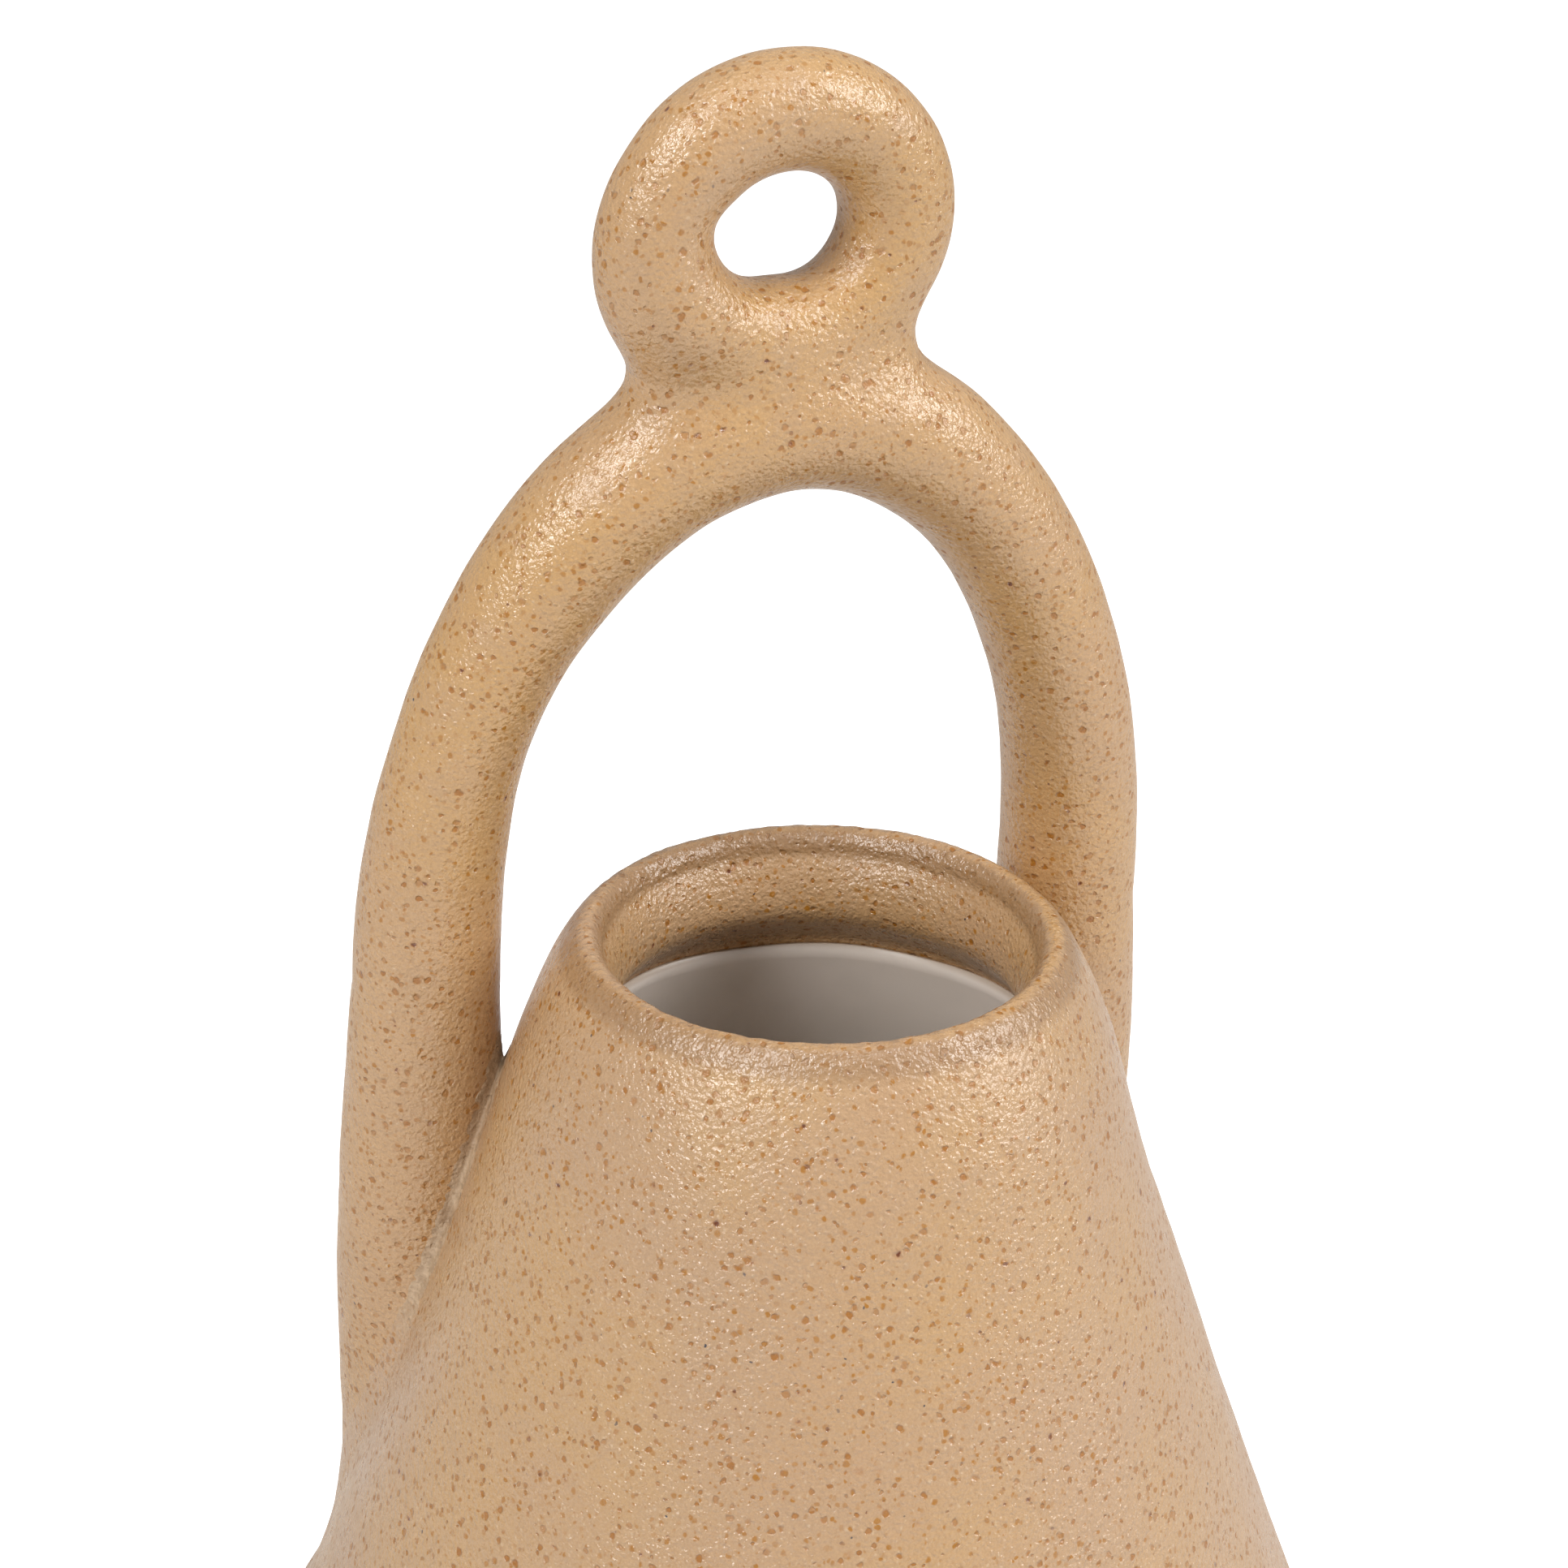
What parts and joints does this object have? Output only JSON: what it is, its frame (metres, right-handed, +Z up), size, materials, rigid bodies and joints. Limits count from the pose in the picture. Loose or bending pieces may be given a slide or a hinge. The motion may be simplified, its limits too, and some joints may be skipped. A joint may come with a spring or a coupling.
{
  "type": "stoneware vase with arch handle",
  "caption": "Conical speckled stoneware vase with a narrow rounded mouth, white-glazed inside, and a tall arch handle topped by a small ring.",
  "frame": {"origin": "centre of the foot, on the surface that the vase stands on, on the body's turned axis", "axes": "+Z up along the body's axis; the handle's plane lies across X, set back towards +Y behind the mouth"},
  "size_m": [0.1656, 0.1656, 0.25],
  "materials": {
    "speckled_stoneware": "satin-matt, sandy buff with brown iron specks",
    "white_glaze": "smooth satin off-white",
    "joining_slip": "dry matt pale grey-buff"
  },
  "bodies": {
    "root": {"body_wall": "speckled_stoneware", "base_slab": "speckled_stoneware", "liner_glaze": "white_glaze", "handle_arch": "speckled_stoneware", "top_ring": "speckled_stoneware", "left_foot_slip": "joining_slip", "right_foot_slip": "joining_slip", "ring_slip": "speckled_stoneware"}
  },
  "joints": []
}
